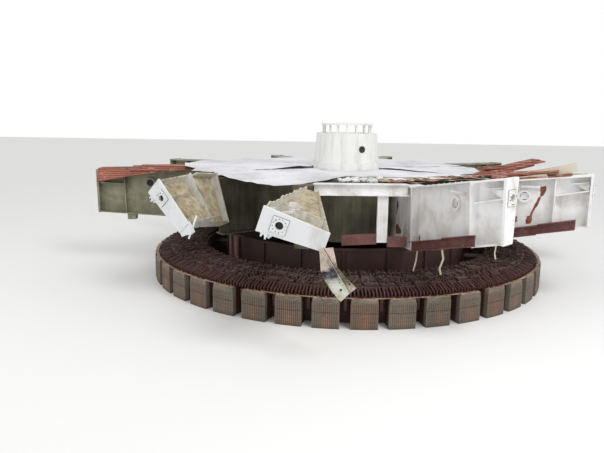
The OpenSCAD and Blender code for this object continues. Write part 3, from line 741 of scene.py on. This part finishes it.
# Ports with a near-black disc of painted shade in each, pipe stubs, gussets and bolts on the arms whose webs
# show, with port bars by place and width
armTrim = {
    "faces": {"frontRight": -1, "right": -1, "left": 1},
    "plate": 0.014, "shelf": (0.42, 0.20), "knee": 0.40, "endBolts": 5, "endPitch": 0.19,
    "topBolts": 9, "topPitch": 0.22, "stubUp": 0.26, "stubRadius": 0.034, "stubLong": 0.42,
    "bars": {"frontRight": ((-0.05, 0.09), (0.062, 0.07)), "right": ((0, 0.19),)},
}


def makeArmPlates(plates, arm, face):
    look = armTrim
    x1 = arm["long"] - arm["bay"]
    outer = atRoot(arm) @ moved(x1, 0, riseAt(arm, x1)) @ turned("Z", arm["bend"])
    top = riseAt(arm, arm["bay"]) + arms["endHigh"]
    end = arm["bay"]
    plates.box((*look["shelf"], look["plate"]),
               outer @ moved(end - 0.24, face * 0.115, top - 0.22) @ turned("Y", -8))
    plates.slab([(end - look["knee"], top - 0.23), (end - 0.02, top - 0.23), (end - 0.02, top - 0.44)],
                look["plate"], outer @ moved(0, face * 0.14, 0))
    for k in range(look["endBolts"]):
        up = 0.22 + k * look["endPitch"]
        plates.rod(0.013, 0.02, outer @ moved(end - 0.03, face * 0.20, up) @ turned("Y", 90), 6)
    for k in range(look["topBolts"]):
        x = 0.2 + k * look["topPitch"]
        if x > x1 - 0.1:
            break
        top = riseAt(arm, x) + highAt(arm, x)
        plates.rod(0.014, 0.02, atRoot(arm) @ moved(x, face * 0.17, top + 0.008), 6)


def makeArmTrim():
    look = armTrim
    grilles = Piece("portGrilles")
    dark = Piece("portHoles")
    stubs = Piece("pipeStubs")
    gussets = Piece("armGussets")
    shade = Piece("armGussetsLeft")
    for key, face in look["faces"].items():
        arm = arms[key]
        frameAt = atRoot(arm)
        makeArmPlates(shade if key == "left" else gussets, arm, face)
        x = arm["long"] - arm["bay"] - arms["portBack"]
        z = riseAt(arm, x) + highAt(arm, x) * 0.69
        # Painted shade: a near-black disc fills each port hole
        dark.rod(arms["port"] - 0.002, 0.006, frameAt @ moved(x, 0, z) @ turned("X", 90), 24)
        if key == "left":
            continue
        for shift, wide in look["bars"][key]:
            grilles.box((wide, 0.006, 0.17), frameAt @ moved(x + shift, face * 0.016, z))
        high = z + look["stubUp"]
        stub = frameAt @ moved(x + 0.12, face * 0.115, high) @ turned("Y", 90)
        stubs.rod(look["stubRadius"], look["stubLong"], stub, 16)
        stubs.rod(look["stubRadius"] + 0.018, 0.05, stub @ moved(0, 0, look["stubLong"] / 2 + 0.02), 16)
        stubs.box((0.04, 0.11, 0.05), frameAt @ moved(x + 0.20, face * 0.06, high))
        stubs.box((0.03, 0.11, 0.04), frameAt @ moved(x + 0.02, face * 0.06, high))
    grilles.done("cream_paint")
    dark.done("cream_paint", "hole")
    stubs.done("cream_paint")
    gussets.done("cream_paint")
    shade.done("cream_paint", "shaded")


# Raised pads: a dark line of painted shade round the edge of each, a near-black disc of painted shade behind
# each jack hole, and stubs of studs left in some of the small holes
padLook = {
    "down": 0.4, "half": 0.160, "proud": 0.064, "jack": 0.080, "circle": 0.131, "holes": 12, "stubs": 0.3,
}


def makePads():
    look = padLook
    joints = Piece("padEdgeShade")
    backs = Piece("jackHoles")
    studs = Piece("padStuds")
    dice = random.Random(3)
    up = arms["endHigh"] + 2 * arms["lip"] - look["down"]
    side = 2 * look["half"]
    for frameAt in (atEnd(arms["frontRight"]), atEnd(arms["right"]), *brokenEnds(0.0003)):
        # Painted shade: a near-black disc behind the jack hole
        backs.rod(look["jack"], 0.006, frameAt @ moved(0.02, 0, up) @ turned("Y", 90), 24)
        # Painted shade: dark lines round the raised pad's edge
        for shift in (-look["half"], look["half"]):
            joints.box((0.008, 0.010, side), frameAt @ moved(look["proud"], shift, up))
            joints.box((0.008, side, 0.010), frameAt @ moved(look["proud"], 0, up + shift))
        for k in range(look["holes"]):
            angle = (k + 0.5) * math.tau / look["holes"]
            if dice.random() < look["stubs"]:
                place = moved(0.092, look["circle"] * math.cos(angle), up + look["circle"] * math.sin(angle))
                studs.rod(0.010, 0.03, frameAt @ place @ turned("Y", 90), 8)
    joints.done("cream_paint", "shaded")
    backs.done("cream_paint", "hole")
    studs.done("cream_paint", "rust")


# Rust patches and tears in the webs of the two right arms, each an outline on the web's near face
rustPatches = {
    "frontRight": [
        [(-0.05, 1.50), (-0.06, 1.31), (-0.12, 1.08), (-0.24, 1.04), (-0.29, 1.15), (-0.14, 1.30),
         (-0.12, 1.48)],
        [(-1.10, 1.12), (-1.04, 0.96), (-1.14, 0.68), (-1.14, 0.89)],
        [(-1.13, 0.42), (-1.04, 0.47), (-0.85, 0.35), (-0.84, 0.26), (-1.13, 0.18)],
        [(0.05, 0.30), (0.10, 0.42), (0.14, 0.33), (0.12, 0.22)]],
    "right": [
        [(1.19, 1.48), (1.32, 1.50), (1.33, 1.43), (1.28, 1.27), (1.21, 1.20), (1.18, 1.37)],
        [(1.21, 1.20), (1.17, 1.03), (1.08, 0.85), (1.03, 0.71), (0.96, 0.66), (1.02, 0.84), (1.11, 1.07),
         (1.17, 1.22)],
        [(0.88, 0.57), (0.91, 0.68), (1.03, 0.71), (1.04, 0.63), (1.01, 0.49), (0.89, 0.46)],
        [(0.60, 0.66), (0.65, 0.66), (0.68, 0.51), (0.62, 0.47)]],
}


def makeRust():
    dice = random.Random(12)
    patches = Piece("rustPatches")
    for key, outlines in rustPatches.items():
        frameAt = atRoot(arms[key])
        for outline in outlines:
            rough = []
            for k, (x, z) in enumerate(outline):
                nextX, nextZ = outline[(k + 1) % len(outline)]
                for t in (0, 0.33, 0.67):
                    wobble = 0 if t == 0 else 0.014
                    rough.append((x + (nextX - x) * t + dice.uniform(-wobble, wobble),
                                  z + (nextZ - z) * t + dice.uniform(-wobble, wobble)))
            patches.slab(rough, -0.004, frameAt @ moved(0, -0.0155, 0))
    patches.done("cream_paint", "rust")


# Hanging from the bracket's underside: posts by azimuth and width, strips by points and width
hangers = {
    "posts": ((-51.6, 0.12), (-47.6, 0.13)), "postLong": 0.72, "postPlate": 0.012,
    "postUp": 1.10, "postOut": 4.08,
    "strips": ((((1.77, -4.55, 1.56), (1.75, -4.58, 1.34), (1.69, -4.60, 1.08)), 0.035),
               (((2.24, -5.20, 1.82), (2.29, -5.22, 1.55), (2.22, -5.20, 1.32), (2.25, -5.23, 1.18)), 0.045),
               (((3.07, -6.73, 2.22), (3.05, -6.74, 2.06), (3.08, -6.72, 1.94)), 0.03)),
    "stripThick": 0.012, "stripSide": (0.97, 0.24, 0),
}


def makeHangers():
    look = hangers
    thin, long = look["postPlate"], look["postLong"]
    primer = Piece("hangingPosts")
    for az, wide in look["posts"]:
        at = atAz(az) @ moved(look["postOut"], 0, look["postUp"])
        primer.box((thin, wide, long), at)
        for side in (-1, 1):
            primer.box((0.05, thin, long), at @ moved(-0.025, side * (wide - thin) / 2, 0))
    primer.box((0.10, 0.55, 0.02), atAz(-49.6) @ moved(look["postOut"] - 0.02, 0, 1.462))
    primer.done("red_primer")
    strips = Piece("hangingStrips")
    for points, wide in look["strips"]:
        strips.bend(points, wide, look["stripThick"], Vector(look["stripSide"]))
    strips.done("cream_paint", "tan")


# Flat scraps on the deck, each a rough outline round a centre
scraps = {
    "scrapRed": {"paint": "floor_layers", "slot": "floor_layers", "z": 3.165, "seed": 3, "places": [
        (1.42, -3.80, 0.24), (1.72, -3.42, 0.22), (2.10, -3.42, 0.26), (2.62, -2.72, 0.24),
        (3.12, -2.42, 0.26), (1.20, -3.98, 0.16)]},
    "scrapPale": {"paint": "board", "slot": "floor_layers", "z": 3.18, "seed": 8, "places": [
        (1.58, -3.58, 0.20), (1.98, -3.22, 0.26), (2.42, -3.00, 0.24), (2.92, -2.60, 0.22),
        (3.42, -2.18, 0.24)]},
    "scrapGrey": {"paint": "cover_sheet", "slot": "cover_sheet", "z": 3.195, "seed": 21, "places": [
        (1.30, -3.62, 0.20), (2.22, -3.22, 0.22), (2.80, -2.46, 0.26)]},
}


def makeScraps():
    for name, look in scraps.items():
        dice = random.Random(look["seed"])
        piece = Piece(name)
        for x, y, size in look["places"]:
            start = dice.uniform(0, math.tau)
            outline = []
            for k in range(9):
                angle = start + k * math.tau / 9
                reach = size * dice.uniform(0.55, 1.2)
                outline.append((x + 1.5 * reach * math.cos(angle), y + 0.8 * reach * math.sin(angle)))
            shift = dice.uniform(0, 9)

            def lift(u, v):
                return look["z"] + 0.07 * abs(noise.noise(Vector((u * 4, v * 4, shift))))

            crumple(piece, outline, lift, 0.08, 0.006)
        piece.done(look["slot"], look["paint"])


# Torn sheets that lie under the scraps, and a near-black sheet of painted shade in the gap between the
# covers
deckSheets = {
    "deckSkirt": {"paint": "board", "slot": "floor_layers", "z": 3.135, "waves": 0.03, "outline": [
        (0.85, -3.55), (1.75, -3.72), (2.35, -3.25), (3.25, -2.62), (3.95, -2.25), (3.70, -1.70),
        (2.60, -2.02), (1.50, -2.50), (1.00, -2.60)]},
    # Painted shade: a near-black sheet in the gap between the covers
    "gapShade": {"paint": "hole", "slot": "cover_sheet", "z": 3.085, "waves": 0.004, "outline": [
        (-0.62, -3.60), (0.95, -3.62), (1.05, -2.35), (-0.10, -2.30)]},
}


def makeDeckSheets():
    for name, look in deckSheets.items():
        piece = Piece(name)

        def lift(u, v):
            return look["z"] + look["waves"] * noise.noise(Vector((u * 3, v * 3, look["z"])))

        crumple(piece, look["outline"], lift, 0.1, 0.008)
        piece.done(look["slot"], look["paint"])


# Broken crumbs in the gap between the covers
crumbLook = {"count": 60, "x": (-0.15, 0.95), "y": (-3.55, -2.75), "z": 3.10, "size": (0.03, 0.10)}


def makeCrumbs():
    look = crumbLook
    crumbs = Piece("deckCrumbs")
    dice = random.Random(31)
    for _ in range(look["count"]):
        x = dice.uniform(*look["x"])
        y = dice.uniform(*look["y"])
        size = dice.uniform(*look["size"])
        at = moved(x, y, look["z"] + size * 0.3) @ turned("Z", dice.uniform(0, 180))
        crumbs.box((size * 1.6, size, size * 0.6), at @ turned("X", dice.uniform(-25, 25)))
    crumbs.done("cream_paint", "cap_paint")


# Boards: two along the right arm by x, y, length, width, height, climb and yaw, and a stack of layers
# at the right of the deck by place, length, width, yaw and lean
boardLook = {
    "lean": -12.0, "thick": 0.03,
    "onArm": ((1.05, 0.02, 1.95, 0.18, 0.11, -2.5, 2), (0.75, -0.12, 1.2, 0.10, 0.02, 1, -3)),
    "stack": (((4.25, -1.35, 3.23), 1.7, 0.7, 58, -2), ((4.7, -1.0, 3.30), 1.9, 0.6, 44, -5),
              ((5.0, -0.9, 3.40), 1.7, 0.5, 30, -8), ((4.35, -1.15, 3.34), 1.1, 0.4, 20, -3)),
}


def makeBoards():
    look = boardLook
    boards = Piece("armBoards")
    arm = arms["right"]
    for x, y, long, wide, up, climb, yaw in look["onArm"]:
        at = atRoot(arm) @ moved(x, y, riseAt(arm, x) + highAt(arm, x) + up)
        at = at @ turned("Z", yaw) @ turned("Y", look["lean"] + climb)
        boards.box((long, wide, look["thick"]), at @ moved(0, 0, up * 0.5))
        boards.box((long, 0.02, up + 0.12), at @ moved(0, -wide / 2, -0.02))
    boards.done("floor_layers", "tan")
    stack = Piece("boardStack")
    dice = random.Random(44)
    for place, long, wide, yaw, lean in look["stack"]:
        at = moved(*place) @ turned("Z", yaw) @ turned("Y", lean) @ turned("X", dice.uniform(-3, 3))
        stack.box((long, wide, 0.035), at)
        stack.box((long * 0.9, wide * 0.6, look["thick"]), at @ moved(0.05, 0.06, 0.034))
    stack.done("floor_layers")


# Torn steel on the broken arms: stubs of bolts at the feet of both end plates, and at the front left
# a cut rod and a flap of the plate
tornSteel = {
    "bolts": ((0.03, -0.25, 1.22), (0.05, -0.27, 1.14), (0.02, -0.24, 1.06)),
    "rod": [(-3.56, -4.86, 2.34), (-3.60, -4.90, 2.22), (-3.66, -4.92, 2.02), (-3.75, -4.90, 1.80)],
    "rodThick": 0.035, "rodSide": (1, 0.2, 0),
    "flap": [(-0.20, 0.02), (-0.22, -0.10), (-0.06, -0.17), (0.08, -0.26), (0.22, -0.28), (0.24, 0.02)],
}


def makeTornSteel():
    look = tornSteel
    ends = brokenEnds(0)
    stubs = Piece("boltStubs")
    for frameAt in ends:
        for x, y, z in look["bolts"]:
            at = frameAt @ moved(x, y, z)
            stubs.rod(0.036, 0.09, at @ turned("X", 78 + 900 * x), 6)
            stubs.rod(0.018, 0.17, at @ turned("X", 70 + 600 * x) @ turned("Y", 20), 8)
    stubs.done("cream_paint", "plate")
    rods = Piece("cutRods")
    rods.bend(look["rod"], look["rodThick"], look["rodThick"], Vector(look["rodSide"]))
    rods.done("cream_paint", "plate")
    flap = Piece("plateFlap")
    flap.slab(look["flap"], 0.03, ends[1] @ moved(0.03, 0, 0) @ turned("Z", 90) @ turned("X", -8))
    flap.done("cream_paint", "plate")


# Broken front arm: stiffeners crumpled over its web, and the ragged edge of its upper flange
frontWreck = {
    "stiffeners": [((2.95, 0.60), (2.78, 0.47), (2.90, 0.33), (2.62, 0.14), (2.70, 0.02)),
                   ((2.40, 0.36), (2.56, 0.24), (2.38, 0.06), (2.50, -0.12)),
                   ((2.10, 0.30), (1.96, 0.16), (2.12, 0.04))],
    "proud": 0.085, "deep": 0.14, "thin": 0.014,
    "teeth": 9, "from": 0.55, "pitch": 0.30, "low": 0.015, "high": 0.075,
    "edgeRoot": (0.074, 0.165), "edgeGrows": (0.165, 0.5),
}


def makeFrontWreck():
    look = frontWreck
    dice = random.Random(17)
    frameAt = along(broken["frontRoot"], broken["frontEnd"], broken["frontRoll"])
    up = frameAt.to_3x3() @ Vector((0, 1, 0))
    bent = Piece("bentStiffeners")
    for row in look["stiffeners"]:
        bent.bend([frameAt @ Vector((x, look["proud"], z)) for x, z in row], look["deep"], look["thin"], up)
    bent.done("cream_paint")
    teeth = Piece("flangeTeeth")
    long = (broken["frontEnd"] - broken["frontRoot"]).length
    rootY, rootZ = look["edgeRoot"]
    growY, growZ = look["edgeGrows"]
    slope = math.degrees(math.atan2(growZ, long))
    for k in range(look["teeth"]):
        x = look["from"] + k * look["pitch"]
        at = frameAt @ moved(x, rootY + growY * x / long, rootZ + growZ * x / long)
        tip = dice.uniform(look["low"], look["high"])
        lean = dice.uniform(-0.06, 0.06)
        wide = dice.uniform(0.10, 0.20)
        tooth = [(-wide, -0.02), (wide, -0.02), (wide * 0.5 + lean, tip), (lean - wide * 0.3, tip * 0.6)]
        teeth.slab(tooth, 0.02, at @ turned("Y", -slope) @ turned("X", -90))
    teeth.done("cream_paint", "tan")


# Deck covers: pale sheets, creased, with edges that droop over the bracket. A ridge has its two ends,
# width and height, and the droop has the y where it ends, the y where it starts and its depth.
flatEdge = (-9, -2.4, 0.02)
covers = {
    "coverSheetFront": {
        "node": "cover_front", "cell": 0.11, "z": 3.146,
        "outline": [(-1.12, 0.05), (-3.22, -1.70), (-3.80, -2.20), (-3.30, -3.22), (-2.42, -4.20),
                    (-1.72, -4.72), (-1.10, -4.30), (-0.45, -3.55), (-0.05, -2.62), (0.60, -2.50),
                    (1.48, -2.46), (2.30, -2.20), (3.05, -1.95), (3.67, -1.55), (3.30, -1.30), (1.12, 0.02),
                    (1.07, -0.15), (0.8, -0.76), (0.35, -1.02), (-0.35, -1.02), (-0.8, -0.76)],
        "ridges": [((-3.6, -2.4), (-0.9, -1.2), 0.30, 0.075), ((-3.2, -3.2), (-1.0, -1.6), 0.34, 0.06),
                   ((-2.2, -4.1), (-0.6, -2.0), 0.30, 0.05), ((0.1, -2.5), (0.25, -1.3), 0.26, 0.03),
                   ((3.2, -1.8), (1.0, -1.1), 0.40, 0.035)],
        "droop": (-4.85, -2.9, 0.06), "waves": 0.020,
    },
    "coverSheetLeft": {
        "node": "cover_left", "cell": 0.12, "z": 3.19,
        "outline": [(-1.09, 0.05), (-1.2, 0.45), (-4.35, 1.30), (-4.95, 1.20), (-5.15, 0.1), (-4.95, -0.75),
                    (-4.30, -1.55), (-4.35, -2.25), (-3.75, -2.55), (-2.95, -1.85), (-1.06, -0.22)],
        "ridges": [((-5.1, -0.4), (-1.3, -0.1), 0.35, 0.07), ((-4.8, 1.0), (-1.4, 0.3), 0.3, 0.05),
                   ((-4.2, -1.9), (-1.4, -0.5), 0.28, 0.06)],
        "droop": flatEdge, "waves": 0.022,
    },
    "coverSheetRight": {
        "node": "cover_right", "cell": 0.12, "z": 3.165,
        "outline": [(1.07, -0.1), (3.0, -1.50), (3.66, -1.48), (4.0, -0.75), (4.05, 0.4), (3.85, 1.2),
                    (1.05, 0.35)],
        "ridges": [((3.7, -1.2), (1.4, -0.2), 0.5, 0.05), ((3.9, 0.4), (1.3, 0.1), 0.3, 0.04)],
        "droop": flatEdge, "waves": 0.018,
    },
    "coverSheetBack": {
        "node": "cover_back", "cell": 0.16, "z": 3.16,
        "outline": [(1.05, 0.45), (3.85, 1.55), (2.75, 3.55), (0.3, 4.78), (-2.2, 4.15), (-3.85, 3.0),
                    (-4.6, 1.6), (-1.1, 0.5), (-0.8, 0.8), (0, 1.12), (0.8, 0.8)],
        "ridges": [((0.3, 4.6), (0.1, 1.3), 0.35, 0.05), ((-3.6, 3.0), (-0.9, 1.1), 0.3, 0.04),
                   ((2.7, 3.4), (0.9, 1.1), 0.35, 0.05)],
        "droop": flatEdge, "waves": 0.018,
    },
}
sheetThick = 0.008


def makeCovers():
    for name, look in covers.items():
        end, start, drop = look["droop"]

        def lift(x, y):
            z = look["z"] + look["waves"] * noise.noise(Vector((x * 1.4, y * 1.4, 3.1)))
            z += look["waves"] * 0.4 * noise.noise(Vector((x * 5, y * 5, 1.7)))
            for crease in look["ridges"]:
                z += ridge(x, y, *crease)
            if y < start:
                k = min(1.0, (start - y) / (start - end))
                side = max(0.0, min(1.0, (1.0 - x) / 2.2))
                z -= drop * k * k * side
            return z

        piece = Piece(name)
        crumple(piece, look["outline"], lift, look["cell"], sheetThick)
        piece.done("cover_sheet", replaces=[look["node"]])


# Cap: seams down the drum, studs round the base and a plain mark
capLook = {
    "seams": (-150, -78, -6, 66, 138), "seam": (0.010, 0.035), "seamOut": 0.972, "lean": 3.9,
    "studs": 24, "markAt": 28, "markUp": 0.42, "markOut": 0.984, "mark": 0.10,
}


def makeCapTrim():
    look = capLook
    low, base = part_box("cap_base")[0][2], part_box("cap_base")[1][2]
    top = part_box("cap_drum")[1][2]
    seams = Piece("capSeams")
    for az in look["seams"]:
        middle = moved(look["seamOut"], 0, (top + base) / 2) @ turned("Y", -look["lean"])
        seams.box((*look["seam"], top - base - 0.05), atAz(az) @ middle)
    for k in range(look["studs"]):
        at = atAz(k * 360 / look["studs"] + 7)
        seams.rod(0.018, 0.03, at @ moved(1.02, 0, base + 0.012), 6)
        seams.rod(0.016, 0.02, at @ moved(1.044, 0, low + 0.10) @ turned("Y", 90), 6)
    seams.done("cap_paint")
    mark = Piece("capMark")
    facing = moved(look["markOut"], 0, base + look["markUp"]) @ turned("Y", 90 - look["lean"])
    mark.rod(look["mark"], 0.008, atAz(look["markAt"]) @ facing, 32)
    mark.done("cap_paint", "hole")


# Floor and light: the world lights the part with the ambient strength and shows plain white behind it
studio = {
    "floor": (0.93, 0.93, 0.92, 1), "floorReach": 90, "floorDown": 0.002,
    "ambient": 0.74, "aim": (0, 0, 1),
    "key": {"place": (9, -15, 18), "size": 9, "watts": 1900},
    "fill": {"place": (-16, -12, 9), "size": 10, "watts": 300},
}


def addLight(name, place, size, watts):
    data = bpy.data.lights.new(name, "AREA")
    data.shape = "DISK"
    data.size = size
    data.energy = watts
    lamp = placed(name, data)
    lamp.location = place
    lamp.rotation_euler = (Vector(studio["aim"]) - Vector(place)).to_track_quat("-Z", "Y").to_euler()


def makeFloor():
    mesh = bpy.data.meshes.new("floor")
    far = studio["floorReach"]
    mesh.from_pydata([(-far, -far, 0), (far, -far, 0), (far, far, 0), (-far, far, 0)], [], [(0, 1, 2, 3)])
    mesh.materials.append(Paint("floorPaint").finish(studio["floor"], 0.7))
    floor = placed("floor", mesh)
    floor.location.z = -studio["floorDown"]


def makeWorld():
    world = bpy.data.worlds.new("studio")
    bpy.context.scene.world = world
    world.use_nodes = True
    tree = world.node_tree
    tree.nodes.clear()
    light = tree.nodes.new("ShaderNodeBackground")
    light.inputs["Strength"].default_value = studio["ambient"]
    white = tree.nodes.new("ShaderNodeBackground")
    for background in (light, white):
        background.inputs["Color"].default_value = (1, 1, 1, 1)
    rays = tree.nodes.new("ShaderNodeLightPath")
    seen = rays.outputs["Is Camera Ray"]
    for ray in ("Is Glossy Ray", "Is Transmission Ray"):
        either = tree.nodes.new("ShaderNodeMath")
        either.operation = "MAXIMUM"
        tree.links.new(seen, either.inputs[0])
        tree.links.new(rays.outputs[ray], either.inputs[1])
        seen = either.outputs[0]
    mix = tree.nodes.new("ShaderNodeMixShader")
    for k, wire in enumerate((seen, light.outputs[0], white.outputs[0])):
        tree.links.new(wire, mix.inputs[k])
    out = tree.nodes.new("ShaderNodeOutputWorld")
    tree.links.new(mix.outputs[0], out.inputs[0])


def makeStudio():
    makeFloor()
    addLight("key", **studio["key"])
    addLight("fill", **studio["fill"])
    makeWorld()
    bpy.context.scene.view_settings.view_transform = "Standard"


placeCamera()
makeStudio()
print("camera, floor and lights placed")
paints = makePaints()
dressNodes()
print("paints on the nodes")
makeRimTop()
makePoleTrim()
makeHubTrim()
print("rotor pieces made")
makeArmTrim()
makePads()
makeRust()
makeHangers()
makeScraps()
makeDeckSheets()
makeCrumbs()
makeBoards()
makeTornSteel()
makeFrontWreck()
makeCovers()
makeCapTrim()
print("bracket pieces made")
